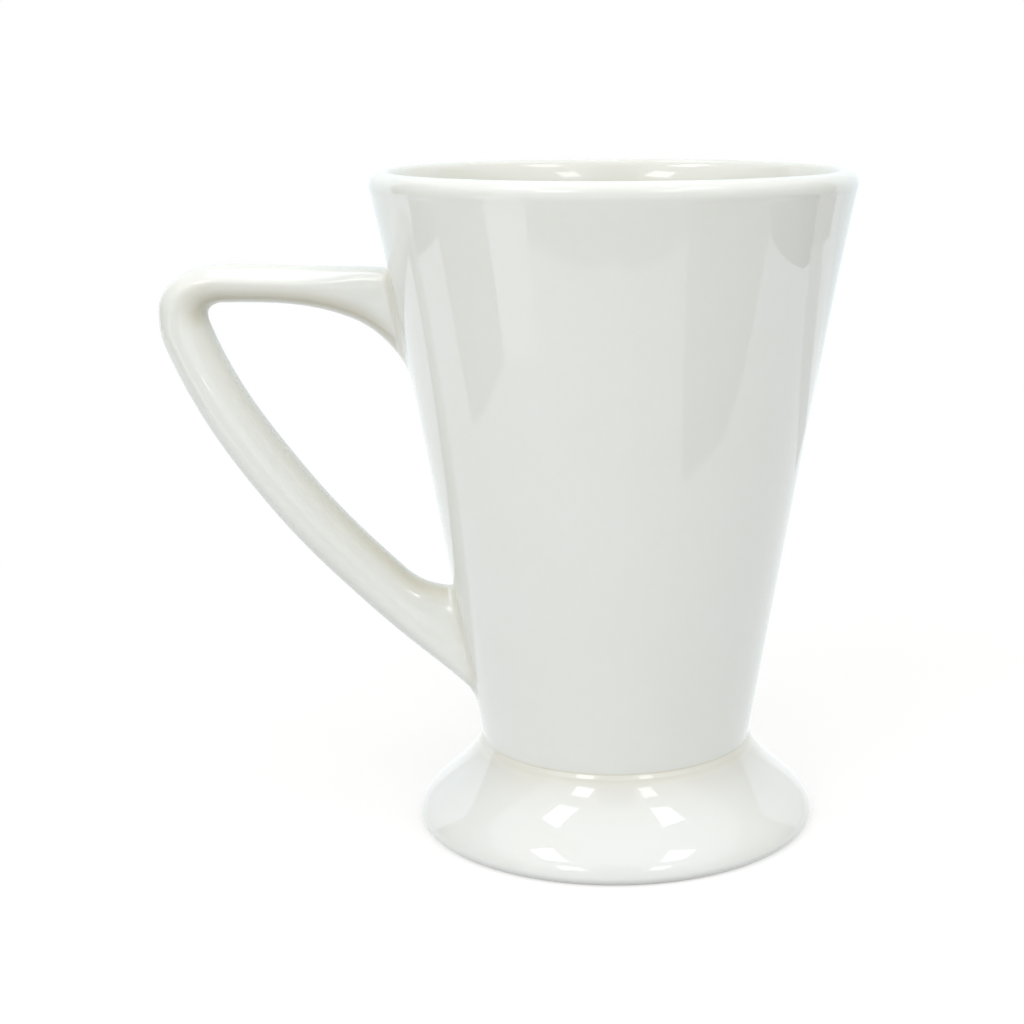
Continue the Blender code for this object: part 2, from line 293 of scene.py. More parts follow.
# slip ring at the neck, all heights and radii in mm
neck = {
    # height, how far the surface leans back in degrees: a small cove under the cup, and a roll below it
    "leans": [(18.03, -9.8), (17.50, -9.8), (17.38, -4), (17.28, 10), (17.19, 24), (17.10, 31.5), (16.56, 32.8),
              (16.44, 25), (16.32, 20), (16.20, 19.5), (15.80, 24), (15.40, 27.5), (14.90, 28)],
    # height, how much gathered glaze and painted shade darken the surface under the cup; it runs on down the foot
    "poolsAndShade": [(18.03, 0.0), (17.60, 0.05), (17.46, 0.45), (17.36, 0.62), (17.24, 0.62), (17.12, 0.40),
              (16.70, 0.36), (16.30, 0.38), (15.60, 0.28), (14.40, 0.20), (13.00, 0.12), (11.00, 0.04), (9.00, 0.0)],
    # radius, height: the side that beds between cup and foot
    "inside": [(26.6, 15.0), (23.2, 15.2), (22.36, 16.0), (22.30, 16.7), (21.95, 17.3), (21.35, 17.75),
               (20.5, 17.96), (20.1, 18.3), (26.6, 18.3)],
    "steps": 96,
    "turnSteps": 240,
}


def neckOutline():
    heights, leans = np.array(neck["leans"]).T
    z = np.linspace(heights[0], heights[-1], neck["steps"])
    slope = np.tan(np.radians(np.interp(-z, -heights, leans)))
    growth = np.concatenate([[0], np.cumsum((slope[1:] + slope[:-1]) / 2 * (z[:-1] - z[1:]))])
    radius = wallRadius(z[0] / 1000) + growth / 1000
    return list(zip(radius, z / 1000)) + [(r / 1000, h / 1000) for r, h in neck["inside"]]


# handle
handle = {
    "overhang": 0.0418, "depth": 0.0096,
    "upperFlare": (0.0034, 0.0050), "lowerFlare": (0.0079, 0.0042),    # extra depth at the wall, how soon it goes
    "armTop": 0.1122, "armThickness": 0.0075, "armDip": 0.0011,
    "armRootRun": 0.0077, "armRootThickness": 0.0105, "armRootSwell": 21,
    "armEndSwell": 52, "armEndHeight": 0.0220,
    "elbowDrop": 0.0090, "elbowRun": 0.0126, "elbowThickness": 0.0094,
    "elbowInnerRun": 0.0032, "elbowInnerDrop": 0.0022,
    "barTop": (-0.0877, 0.0967, 69, 0.0098),      # outer edge's place, its slope, thickness across
    "barMid": (-0.06874, 0.06457, 52, 0.0104),
    "barEnd": (-0.04902, 0.0436, 43.5, 0.0104),
    "barJointTop": 0.0474, "barJointBottom": 0.0270, "barJointSlope": 39,
    # section: run from the outer edge to the ridge, tilt in degrees
    "bevel": [(0.0, 90), (0.10, 70), (0.16, 58), (0.80, 42), (0.90, 30), (1.0, 0)],
    # along the strap: knots passed, drop of the ridge below the outer edge
    "ridge": [(0, 0.0039), (1, 0.0039), (1.3, 0.0036), (2, 0.0034), (3, 0.0040), (4, 0.0042)],
    # knots passed, how bevelled the section is; nought is round, and below nought it is squarer
    "bevelled": [(0, -0.25), (0.8, -0.2), (1.0, 0.05), (1.2, 0.55), (1.4, 0.90), (1.7, 1.0), (2, 0.85),
                 (3, 0.40), (4, 0.15), (7, 0.10)],
    "squareness": 2.5,        # 2 is an ellipse, more is squarer
    "bendPull": 0.36,         # share of a bend's chord that its tangents reach
    "sunk": 0.0064,           # how far the edges run on inside the wall
    "buried": 0.0022,         # how much of that the strap keeps
    "bendSteps": 30, "bevelPoints": 28, "roundPoints": 22, "bevelSteps": 400,
}


def heading(degrees):
    return Vector((math.cos(math.radians(degrees)), math.sin(math.radians(degrees))))


def edgeLine(knots):
    points = []
    for (start, startAngle), (end, endAngle) in zip(knots, knots[1:]):
        pull = handle["bendPull"] * (end - start).length
        bend = bendPoints(start, start + pull * heading(startAngle), end - pull * heading(endAngle), end,
                          handle["bendSteps"])
        points += bend if not points else bend[1:]
    return np.array(points)


def onWall(z, drop):
    return Vector((handle["sunk"] - wallRadius(z), z - drop))


def handleEdges():
    h = handle
    reach = cup["rimRadius"] + h["overhang"]
    armEndTop = h["armTop"] - h["armDip"]
    armUnder = h["armTop"] - h["armThickness"]
    root = -wallRadius(h["armTop"]) - h["armRootRun"]
    elbowInside = h["elbowThickness"] - reach
    bar = [(Vector((x, z)), thickness * heading(90 - slope), -slope)
           for x, z, slope, thickness in (h["barTop"], h["barMid"], h["barEnd"])]
    endDrop = h["sunk"] * math.tan(math.radians(h["barJointSlope"]))
    swellDrop = h["sunk"] * math.tan(math.radians(h["armEndSwell"]))
    outer = [(onWall(armEndTop, 0), 180),
             (Vector((root, h["armTop"] - h["armDip"] / 2)), 180),
             (Vector((h["elbowRun"] - reach, h["armTop"])), 180),
             (Vector((-reach, h["armTop"] - h["elbowDrop"])), -90),
             *((place, angle) for place, across, angle in bar),
             (onWall(h["barJointBottom"], endDrop), -h["barJointSlope"])]
    inner = [(onWall(armEndTop - h["armEndHeight"], swellDrop), 180 - h["armEndSwell"]),
             (Vector((root, h["armTop"] - h["armRootThickness"])), 180 - h["armRootSwell"]),
             (Vector((elbowInside + h["elbowInnerRun"], armUnder)), 180),
             (Vector((elbowInside, armUnder - h["elbowInnerDrop"])), -90),
             *((place + across, angle) for place, across, angle in bar),
             (onWall(h["barJointTop"], 0), 0)]
    return edgeLine(outer), edgeLine(inner)


def handleRows():
    # a row of numbers for each place along the strap; its widest line is the ridge under the outer edge
    outer, inner = handleEdges()
    rise = np.linalg.norm(outer - inner, axis=1)
    up = (outer - inner) / rise[:, None]
    knots = np.arange(len(outer)) / (handle["bendSteps"] - 1)
    ridge, bevelled = (np.interp(knots, *np.array(handle[name]).T) for name in ("ridge", "bevelled"))
    middle = outer - ridge[:, None] * up
    clear = np.maximum(-middle[:, 0] - wallRadius(middle[:, 1]), 0)
    flares = [handle["upperFlare" if k < 3 else "lowerFlare"] for k in knots]      # the third knot is the elbow
    flare = np.array([extra * math.exp(-c / reach) for c, (extra, reach) in zip(clear, flares)])
    return middle, up, {"outerRise": ridge, "innerRise": rise - ridge, "spread": (handle["depth"] + flare) / 2,
                        "bevelled": bevelled}


def sectionOutlines():
    # the same points twice: bevelled from the outer edge to the ridge, and round all over
    run, tilt = np.array(handle["bevel"]).T
    step = np.linspace(0, 1, handle["bevelSteps"])
    angle = np.radians(np.interp(step, run, tilt))
    across = np.concatenate([[0], np.cumsum((np.sin(angle[1:]) + np.sin(angle[:-1])) / 2)])
    along = np.concatenate([[0], np.cumsum((np.cos(angle[1:]) + np.cos(angle[:-1])) / 2)])
    turned = np.concatenate([[0], np.cumsum(np.abs(np.diff(angle)) / math.pi * 2 + np.diff(step))])
    spaced = np.interp(np.linspace(0, turned[-1], handle["bevelPoints"]), turned, step)
    bevel = [(np.interp(f, step, across / across[-1]), 1 - np.interp(f, step, along / along[-1])) for f in spaced]
    power = 2 / handle["squareness"]
    quarter = roundPoints((0, 0), 1, 90, 0, handle["bevelPoints"])
    rounded = [(max(x, 0) ** power, max(z, 0) ** power) for x, z in quarter]
    halves = [upper + roundPoints((0, 0), 1, 0, -90, handle["roundPoints"])[1:] for upper in (bevel, rounded)]
    return [half + [(-x, z) for x, z in half[-2:0:-1]] for half in halves]


def makeStrapTree():
    tree, given = newTree("handle strap", [("Lines", "Geometry"), ("Finish", "Material")])
    place = addNode(tree, "GeometryNodeInputPosition").outputs[0]

    def named(name, kind):
        return addNode(tree, "GeometryNodeInputNamedAttribute", {"Name": name}, data_type=kind).outputs[0]

    isSection = addMath(tree, "GREATER_THAN", named("isSection", "FLOAT"), 0.5)
    parts = addNode(tree, "GeometryNodeSeparateGeometry", {
        "Geometry": given.outputs["Lines"], "Selection": isSection}, domain="POINT")
    path = addNode(tree, "GeometryNodeMeshToCurve", {"Mesh": parts.outputs["Inverted"]})
    ring = addNode(tree, "GeometryNodeMeshToCurve", {"Mesh": parts.outputs["Selection"]})
    row = keepValues(tree, path.outputs[0], {
        "middle": ("VECTOR", place), "up": ("VECTOR", named("up", "FLOAT_VECTOR")),
        **{name: ("FLOAT", named(name, "FLOAT")) for name in ("outerRise", "innerRise", "spread", "bevelled")}})
    section = keepValues(tree, ring.outputs[0], {
        "bevel": ("VECTOR", place), "round": ("VECTOR", named("round", "FLOAT_VECTOR"))})
    swept = addNode(tree, "GeometryNodeCurveToMesh", {
        "Curve": row.outputs[0], "Profile Curve": section.outputs[0], "Fill Caps": True})
    edged = addVectorMath(tree, "SCALE", section.outputs["bevel"], row.outputs["bevelled"])
    rounded = addVectorMath(tree, "SCALE", section.outputs["round"],
                            addMath(tree, "SUBTRACT", 1.0, row.outputs["bevelled"]))
    spot = addNode(tree, "ShaderNodeSeparateXYZ", {0: addVectorMath(tree, "ADD", edged, rounded)})
    above = addMath(tree, "MULTIPLY", addMath(tree, "MAXIMUM", spot.outputs["Y"], 0.0), row.outputs["outerRise"])
    below = addMath(tree, "MULTIPLY", addMath(tree, "MINIMUM", spot.outputs["Y"], 0.0), row.outputs["innerRise"])
    across = addMath(tree, "MULTIPLY", spot.outputs["X"], row.outputs["spread"])
    lifted = addVectorMath(tree, "SCALE", row.outputs["up"], addMath(tree, "ADD", above, below))
    widened = addNode(tree, "ShaderNodeCombineXYZ", {"Y": across}).outputs[0]
    spots = addVectorMath(tree, "ADD", row.outputs["middle"], addVectorMath(tree, "ADD", lifted, widened))
    moved = addNode(tree, "GeometryNodeSetPosition", {"Geometry": swept.outputs[0], "Position": spots})
    finishTree(tree, moved.outputs[0], given.outputs["Finish"])
    return tree


def makeHandle(material):
    middle, up, sizes = handleRows()
    keep = np.where(-middle[:, 0] - wallRadius(middle[:, 1]) > -handle["buried"])[0]
    rows = slice(keep[0], keep[-1] + 1)
    path = [(x + mugAxis, 0, z) for x, z in middle[rows]]
    bevel, rounded = sectionOutlines()
    first, count = len(path), len(bevel)
    seedMesh = bpy.data.meshes.new("handleLines")
    seedMesh.from_pydata(path + [(x, z, 0) for x, z in bevel], [(i, i + 1) for i in range(first - 1)]
                         + [(first + i, first + (i + 1) % count) for i in range(count)], [])
    isSection = np.repeat([0.0, 1.0], [first, count])
    for name, values in (*sizes.items(), ("isSection", None)):
        values = isSection if values is None else np.concatenate([values[rows], np.zeros(count)])
        seedMesh.attributes.new(name, "FLOAT", "POINT").data.foreach_set("value", values.astype(np.float32))
    upward, roundSpots = np.zeros((2, first + count, 3), np.float32)
    upward[:first, 0], upward[:first, 2] = up[rows].T
    roundSpots[first:, :2] = rounded
    for name, values in (("up", upward), ("round", roundSpots)):
        seedMesh.attributes.new(name, "FLOAT_VECTOR", "POINT").data.foreach_set("vector", values.ravel())
    return bakeTree("handleStrap", seedMesh, makeStrapTree(), {"Finish": material})


# slip wiped into a fillet round each end of the handle
slip = {
    "upper": {"side": 0.0022, "outer": 0.0013, "inner": 0.0038},
    "lower": {"side": 0.0020, "outer": 0.0034, "inner": 0.0014},
    "filletSteps": 14,
    "lap": 0.0007,        # runs on past the fillet, under the glaze of handle and wall
    "lapSunk": 0.00006,
    "bed": 0.0012,        # thickness kept under the fillet, inside handle and wall
    "bedInset": 0.0009,
    # how dark the fillet's middle gets: gathered glaze, painted crease shade, and on the wall a painted reflection
    # of the handle
    "poolAndShadeTint": 0.55,
}


def handleSurface():
    middle, up, sizes = handleRows()
    sizes = {name: values[:, None] for name, values in sizes.items()}
    bevel, rounded = (np.array(outline) for outline in sectionOutlines())
    across, along = (sizes["bevelled"] * bevel[:, k] + (1 - sizes["bevelled"]) * rounded[:, k] for k in (0, 1))
    lift = np.maximum(along, 0) * sizes["outerRise"] + np.minimum(along, 0) * sizes["innerRise"]
    spots = np.zeros((*lift.shape, 3))
    spots[:, :, 0] = middle[:, None, 0] + lift * up[:, None, 0]
    spots[:, :, 1] = across * sizes["spread"]
    spots[:, :, 2] = middle[:, None, 1] + lift * up[:, None, 1]
    return spots, rounded[:, 1]


def wallClear(spots):
    return np.hypot(spots[..., 0], spots[..., 1]) - wallRadius(spots[..., 2])


def wallNormal(spots):
    flat = np.stack([spots[:, 0], spots[:, 1], 0 * spots[:, 2]], 1)
    flat /= np.linalg.norm(flat, axis=1)[:, None]
    normal = flat - np.array([0, 0, cup["taper"]])
    return normal / np.linalg.norm(normal, axis=1)[:, None]


def ontoWall(spots, lift=0.0):
    radius = np.hypot(spots[:, 0], spots[:, 1])
    scale = (wallRadius(spots[:, 2]) + lift) / radius
    return np.stack([spots[:, 0] * scale, spots[:, 1] * scale, spots[:, 2]], 1)


def walkLine(line, start, distance):
    # a place on a polyline, some way on from where it leaves the wall
    steps = np.linalg.norm(np.diff(line, axis=0), axis=1)
    run = np.concatenate([[0], np.cumsum(steps)])
    return np.array([np.interp(start + distance, run, line[:, k]) for k in range(3)])


def makeSlip(name, sizes, fromEnd, material):
    surface, rising = handleSurface()
    if fromEnd:
        surface = surface[::-1]
    half = surface[:len(surface) // 2]
    clear = wallClear(half)
    count = len(rising)
    leave = np.zeros(count)
    joint = np.zeros((count, 3))
    for j in range(count):
        line = half[:, j]
        out = np.where(clear[:, j] > 0)[0][0]
        share = clear[out - 1, j] / (clear[out - 1, j] - clear[out, j])
        joint[j] = line[out - 1] + share * (line[out] - line[out - 1])
        run = np.concatenate([[0], np.cumsum(np.linalg.norm(np.diff(line, axis=0), axis=1))])
        leave[j] = run[out - 1] + share * (run[out] - run[out - 1])
    size = np.where(rising > 0,
                    sizes["side"] + (sizes["outer"] - sizes["side"]) * rising ** 2,
                    sizes["side"] + (sizes["inner"] - sizes["side"]) * rising ** 2)
    normal = wallNormal(joint)
    tangent = np.roll(joint, -1, 0) - np.roll(joint, 1, 0)
    away = np.cross(normal, tangent)
    away /= np.linalg.norm(away, axis=1)[:, None]
    away *= np.sign(np.sum(away * (joint - joint.mean(0)), 1))[:, None]
    onHandle = np.array([walkLine(half[:, j], leave[j], size[j]) for j in range(count)])
    lapHandle = np.array([walkLine(half[:, j], leave[j], size[j] + slip["lap"]) for j in range(count)])
    core = lapHandle.mean(0)
    sink = slip["lapSunk"]
    onCup = ontoWall(joint + size[:, None] * away)
    lapCup = ontoWall(joint + (size + slip["lap"])[:, None] * away, -sink)
    inward = core - lapHandle
    inward /= np.linalg.norm(inward, axis=1)[:, None]
    rings = [lapHandle + sink * inward]
    poolAndShade = [0.0]
    # darkest in the fillet's middle: gathered glaze and painted crease shade
    for s in np.linspace(0, 1, slip["filletSteps"]):
        rings.append((1 - s) ** 2 * onHandle + 2 * s * (1 - s) * joint + s ** 2 * onCup)
        poolAndShade.append(slip["poolAndShadeTint"] * math.sin(math.pi * s))
    bed = slip["bed"]
    rings += [lapCup, ontoWall(joint + size[:, None] * away, -bed),
              ontoWall(joint - slip["bedInset"] * away, -bed), lapHandle + bed * inward]
    poolAndShade += [0.0] * (len(rings) - len(poolAndShade))
    verts = [(p[0] + mugAxis, p[1], p[2]) for ring in rings for p in ring]
    faces = []
    for i in range(len(rings)):
        a, b = i * count, (i + 1) % len(rings) * count
        faces += [(a + j, a + (j + 1) % count, b + (j + 1) % count, b + j) for j in range(count)]
    mesh = bpy.data.meshes.new(name)
    mesh.from_pydata(verts, [], faces)
    mesh.attributes.new("poolAndShade", "FLOAT", "POINT").data.foreach_set(
        "value", np.repeat(np.array(poolAndShade, np.float32), count))
    mesh.materials.append(material)
    return addPiece(name, mesh), joint


# glazes and clay
finish = {
    "cup": {"color": (0.812, 0.828, 0.796), "rich": (0.780, 0.784, 0.722)},
    # the foot's glaze is the cup's, set a little darker and cooler to even out the brighter light on the foot:
    # painted shade
    "foot": {"color": (0.778, 0.793, 0.782), "rich": (0.790, 0.790, 0.732)},
    # a warm darker tone: glaze that has gathered thick, and painted shade in creases, under the handle and inside
    # the cup
    "pooledAndShaded": (0.640, 0.605, 0.485),
    "driftScale": 26.0, "driftShare": 0.30,      # slow change of glaze thickness, about 40 mm
    "mottleScale": 620.0, "mottleShare": 0.14, "mottleHeight": 0.000001,      # fine mottling, under 2 mm
    "waveScale": 85.0, "waveHeight": 0.00005,    # ripple that bends reflections, about 12 mm
    "poolAndShadeThin": 0.72,         # the gathered glaze and painted shade drift between this share and all of it
    "roughness": (0.006, 0.018),
    "bending": 1.5,           # index of refraction
}
# pinholes: here and there a tiny dark speck that has sunk in
pinhole = {
    "color": (0.16, 0.14, 0.11), "share": 0.75,
    "scale": 150.0, "radius": (0.022, 0.040), "rarity": 0.988,
    "depth": 0.00008,
}
# bare clay on the standing ring
clay = {
    "color": (0.70, 0.655, 0.565), "dark": 0.86,
    "height": 0.00030,        # wiped clean up to here
    "ragged": 0.00012, "blend": 0.00006,
    "grainScale": 2400.0, "grainHeight": 0.00004,
    "roughness": 0.85,
}


def addMix(tree, factor, first, second):
    node = addNode(tree, "ShaderNodeMix", data_type="RGBA")
    for socket, feed in ((node.inputs[0], factor), (node.inputs[6], first), (node.inputs[7], second)):
        if isinstance(feed, bpy.types.NodeSocket):
            tree.links.new(feed, socket)
        elif isinstance(feed, tuple):
            socket.default_value = (*feed, 1)
        else:
            socket.default_value = feed
    return node.outputs[2]


def addRange(tree, value, fromLow, fromHigh, toLow, toHigh):
    return addNode(tree, "ShaderNodeMapRange", {
        "Value": value, "From Min": fromLow, "From Max": fromHigh, "To Min": toLow, "To Max": toHigh},
        interpolation_type="SMOOTHSTEP").outputs["Result"]


def addNoise(tree, place, scale, detail=2.0):
    return addNode(tree, "ShaderNodeTexNoise", {
        "Vector": place, "Scale": scale, "Detail": detail, "Roughness": 0.55}).outputs["Fac"]


def makeGlaze(name, tone, bareRing=False):
    material = bpy.data.materials.new(name)
    material.use_nodes = True
    tree = material.node_tree
    shader = tree.nodes["Principled BSDF"]
    place = addNode(tree, "ShaderNodeTexCoord").outputs["Object"]
    drift = addNoise(tree, place, finish["driftScale"], 3.0)
    mottle = addNoise(tree, place, finish["mottleScale"], 3.0)
    wave = addNoise(tree, place, finish["waveScale"], 1.0)
    thickness = addMath(tree, "ADD", addRange(tree, drift, 0.30, 0.72, 0.0, finish["driftShare"]),
                        addRange(tree, mottle, 0.30, 0.70, 0.0, finish["mottleShare"]))
    color = addMix(tree, thickness, tone["color"], tone["rich"])
    # darker and warmer where glaze has gathered and where shade is painted: creases, under the handle, inside the
    # cup
    poolAndShade = addNode(tree, "ShaderNodeAttribute", attribute_name="poolAndShade").outputs["Fac"]
    pooledAndShaded = addMath(tree, "MULTIPLY", poolAndShade, addRange(tree, drift, 0.25, 0.75, finish["poolAndShadeThin"], 1.0))
    color = addMix(tree, pooledAndShaded, color, finish["pooledAndShaded"])
    cells = addNode(tree, "ShaderNodeTexVoronoi", {"Vector": place, "Scale": pinhole["scale"]}, feature="F1")
    chosen = addNode(tree, "ShaderNodeSeparateColor", {0: cells.outputs["Color"]})
    pin = addMath(tree, "MULTIPLY", addRange(tree, cells.outputs["Distance"], *pinhole["radius"], 1.0, 0.0),
                  addMath(tree, "GREATER_THAN", chosen.outputs["Red"], pinhole["rarity"]))
    color = addMix(tree, addMath(tree, "MULTIPLY", pin, pinhole["share"]), color, pinhole["color"])
    rough = addRange(tree, mottle, 0.25, 0.75, *finish["roughness"])
    height = addMath(tree, "ADD", addMath(tree, "MULTIPLY", wave, finish["waveHeight"]),
                     addMath(tree, "MULTIPLY", mottle, finish["mottleHeight"]))
    height = addMath(tree, "SUBTRACT", height, addMath(tree, "MULTIPLY", pin, pinhole["depth"]))
    if bareRing:
        level = addNode(tree, "ShaderNodeSeparateXYZ", {0: place}).outputs["Z"]
        ragged = addMath(tree, "ADD", level, addRange(tree, drift, 0.3, 0.7, -clay["ragged"], clay["ragged"]))
        bare = addRange(tree, ragged, clay["height"] - clay["blend"], clay["height"] + clay["blend"], 1.0, 0.0)
        grain = addNoise(tree, place, clay["grainScale"], 4.0)
        grained = addMix(tree, grain, clay["color"], tuple(clay["dark"] * c for c in clay["color"]))
        color = addMix(tree, bare, color, grained)
        rough = addNode(tree, "ShaderNodeMix", {
            0: bare, 2: rough, 3: clay["roughness"]}, data_type="FLOAT").outputs[0]
        grit = addMath(tree, "MULTIPLY", bare, addMath(tree, "MULTIPLY", grain, clay["grainHeight"]))
        height = addMath(tree, "ADD", height, grit)
    tree.links.new(color, shader.inputs["Base Color"])
    tree.links.new(rough, shader.inputs["Roughness"])
    bump = addNode(tree, "ShaderNodeBump", {"Height": height, "Strength": 1.0, "Distance": 1.0})
    tree.links.new(bump.outputs["Normal"], shader.inputs["Normal"])
    shader.inputs["IOR"].default_value = finish["bending"]
    return material


cupGlaze = makeGlaze("cupGlaze", finish["cup"])
footGlaze = makeGlaze("footGlaze", finish["foot"], bareRing=True)
jointGlaze = makeGlaze("jointGlaze", finish["cup"])
cupPiece = turnPiece("cupBody", cupOutline(), False, cupGlaze, cup["turnSteps"])
footPiece = turnPiece("footBell", footOutline(), True, footGlaze, foot["turnSteps"])
neckPiece = turnPiece("neckSlip", neckOutline(), True, jointGlaze, neck["turnSteps"])
handlePiece = makeHandle(cupGlaze)
upperSlip, upperJoint = makeSlip("upperSlip", slip["upper"], False, jointGlaze)
lowerSlip, lowerJoint = makeSlip("lowerSlip", slip["lower"], True, jointGlaze)
print("pieces: cup, foot and neck turned, handle swept, two slips wiped round its ends")

# where the glaze has gathered and is darker, together with painted shade in the creases, under the handle and inside
# the cup
poolsAndShade = {
    "joint": {"reach": 0.0026, "strength": 0.25},
    "elbow": {"reach": 0.0042, "strength": 0.80, "inset": 0.0004, "drop": 0.0002, "halfWidth": 0.0040},
    # along the handle's inner edge, painted shade under the arm and on the bar's side towards the cup: knots passed,
    # strength, how far from the edge it is deepest
    "inside": [(0, 0.50, 0.0039), (1, 0.92, 0.0039), (3, 0.92, 0.0036), (3.6, 0.55, 0.0033),
               (4, 0.30, 0.0031), (5, 0.32, 0.0027), (5.5, 0.50, 0.0023), (6, 0.80, 0.0023),
               (6.6, 0.85, 0.0023), (7, 0.60, 0.0023)],
    "insideReach": (0.0015, 0.0020),      # towards the edge, and away from it
    "cup": {"strength": 0.23, "start": 0.0026, "end": 0.0046},      # inside the cup, from the lip inwards: thicker glaze and painted shade
}


def nearLine(piece, line):
    # how far each point of a piece is from a line of points, and which of them is nearest
    tree = KDTree(len(line))
    for index, (x, y, z) in enumerate(line):
        tree.insert((x + mugAxis, y, z), index)
    tree.balance()
    found = [tree.find(v.co) for v in piece.data.vertices]
    return np.array([f[2] for f in found]), np.array([f[1] for f in found])


def gatherPoolAndShade(piece, line, kind):
    # glaze gathers along a line and thins away from it; the same band carries painted crease shade
    return kind["strength"] * np.exp(-(nearLine(piece, line)[0] / kind["reach"]) ** 2)


def poolAndShadeInside(piece):
    away, index = nearLine(piece, [(x, 0, z) for x, z in handleEdges()[1]])
    knots, strength, deepest = np.array(poolsAndShade["inside"]).T
    passed = index / (handle["bendSteps"] - 1)
    off = away - np.interp(passed, knots, deepest)
    reach = np.where(off < 0, *poolsAndShade["insideReach"])
    return np.interp(passed, knots, strength) * np.exp(-(off / reach) ** 2)


def setPoolAndShade(piece, *layers):
    if "poolAndShade" not in piece.data.attributes:
        piece.data.attributes.new("poolAndShade", "FLOAT", "POINT")
    values = np.max(layers, axis=0)
    piece.data.attributes["poolAndShade"].data.foreach_set("value", values.astype(np.float32))


# darker round both joints: gathered glaze and painted crease shade
def jointPoolsAndShade(piece):
    return [gatherPoolAndShade(piece, line, poolsAndShade["joint"]) for line in (upperJoint, lowerJoint)]


def elbowLine():
    # across the strap, just off the corner inside the elbow, where painted shade darkens the crook
    kind = poolsAndShade["elbow"]
    x = handle["elbowThickness"] - cup["rimRadius"] - handle["overhang"] + kind["inset"]
    z = handle["armTop"] - handle["armThickness"] - kind["drop"]
    return [(x, y, z) for y in np.linspace(-kind["halfWidth"], kind["halfWidth"], 9)]


def poolAndShadeInCup(piece):
    kind = poolsAndShade["cup"]
    spots = np.array([v.co for v in piece.data.vertices])
    inset = wallRadius(spots[:, 2]) - np.hypot(spots[:, 0] - mugAxis, spots[:, 1])
    return kind["strength"] * np.interp(inset, [kind["start"], kind["end"]], [0, 1])


def poolAndShadeAtNeck(piece):
    heights, strength = np.array(neck["poolsAndShade"]).T
    z = np.array([v.co.z for v in piece.data.vertices]) * 1000
    return np.interp(-z, -heights, strength)


setPoolAndShade(handlePiece, *jointPoolsAndShade(handlePiece), gatherPoolAndShade(handlePiece, elbowLine(), poolsAndShade["elbow"]),
        poolAndShadeInside(handlePiece))
setPoolAndShade(cupPiece, *jointPoolsAndShade(cupPiece), poolAndShadeInCup(cupPiece))
for piece in (neckPiece, footPiece):
    setPoolAndShade(piece, poolAndShadeAtNeck(piece))

for piece, node, slotName in ((cupPiece, "cup_body", "glaze"), (footPiece, "foot", "foot_glaze"),
                              (neckPiece, "foot_slip_ring", "joint_glaze"), (handlePiece, "handle", "glaze"),
                              (upperSlip, "handle_upper_slip", "joint_glaze"),
                              (lowerSlip, "handle_lower_slip", "joint_glaze")):
    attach(piece, "root")
    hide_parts(node)
    print("piece:", piece.name, len(piece.data.polygons), "faces")

# camera at the photograph's place
view = {
    "distance": 0.36719, "height": 0.14711,
    "dip": 12.978, "roll": -0.2105,      # degrees
    "sensor": 36, "lens": 66.432, "shift": (-0.1005, 0.0005),
    "nearest": 0.01,
}
camera = bpy.data.cameras.new("photoView")
cameraObject = bpy.data.objects.new("photoView", camera)
scene.collection.objects.link(cameraObject)
cameraObject.matrix_world = (Matrix.Translation((mugAxis, -view["distance"], view["height"]))
                             @ Matrix.Rotation(math.radians(90 - view["dip"]), 4, "X")
                             @ Matrix.Rotation(math.radians(view["roll"]), 4, "Z"))
camera.sensor_width = view["sensor"]
camera.lens = view["lens"]
camera.shift_x, camera.shift_y = view["shift"]
camera.clip_start = view["nearest"]
scene.camera = cameraObject
scene.view_settings.view_transform = "Standard"

# floor: pale paper that keeps the shadow and is white further out
floor = {
    "size": 3.0, "squares": 8,
    "color": (0.45, 0.45, 0.445),
    "lift": 0.56,             # brings the open paper up to white
    "gleam": 0.27,            # a little brighter again in the glaze, and cooler
    "gleamColor": (0.67, 0.89, 1.0),
    "nearRadius": 0.10,
    "farRadius": 0.30,
}


def addRays(tree):
    # camera rays, and glossy or transmission rays
    path = addNode(tree, "ShaderNodeLightPath")
    mirrored = addMath(tree, "MAXIMUM", path.outputs["Is Glossy Ray"], path.outputs["Is Transmission Ray"])
    return addMath(tree, "MAXIMUM", path.outputs["Is Camera Ray"], mirrored), mirrored


def emptyMaterial(name):
    material = bpy.data.materials.new(name)
    material.use_nodes = True
    material.node_tree.nodes.clear()
    return material, material.node_tree


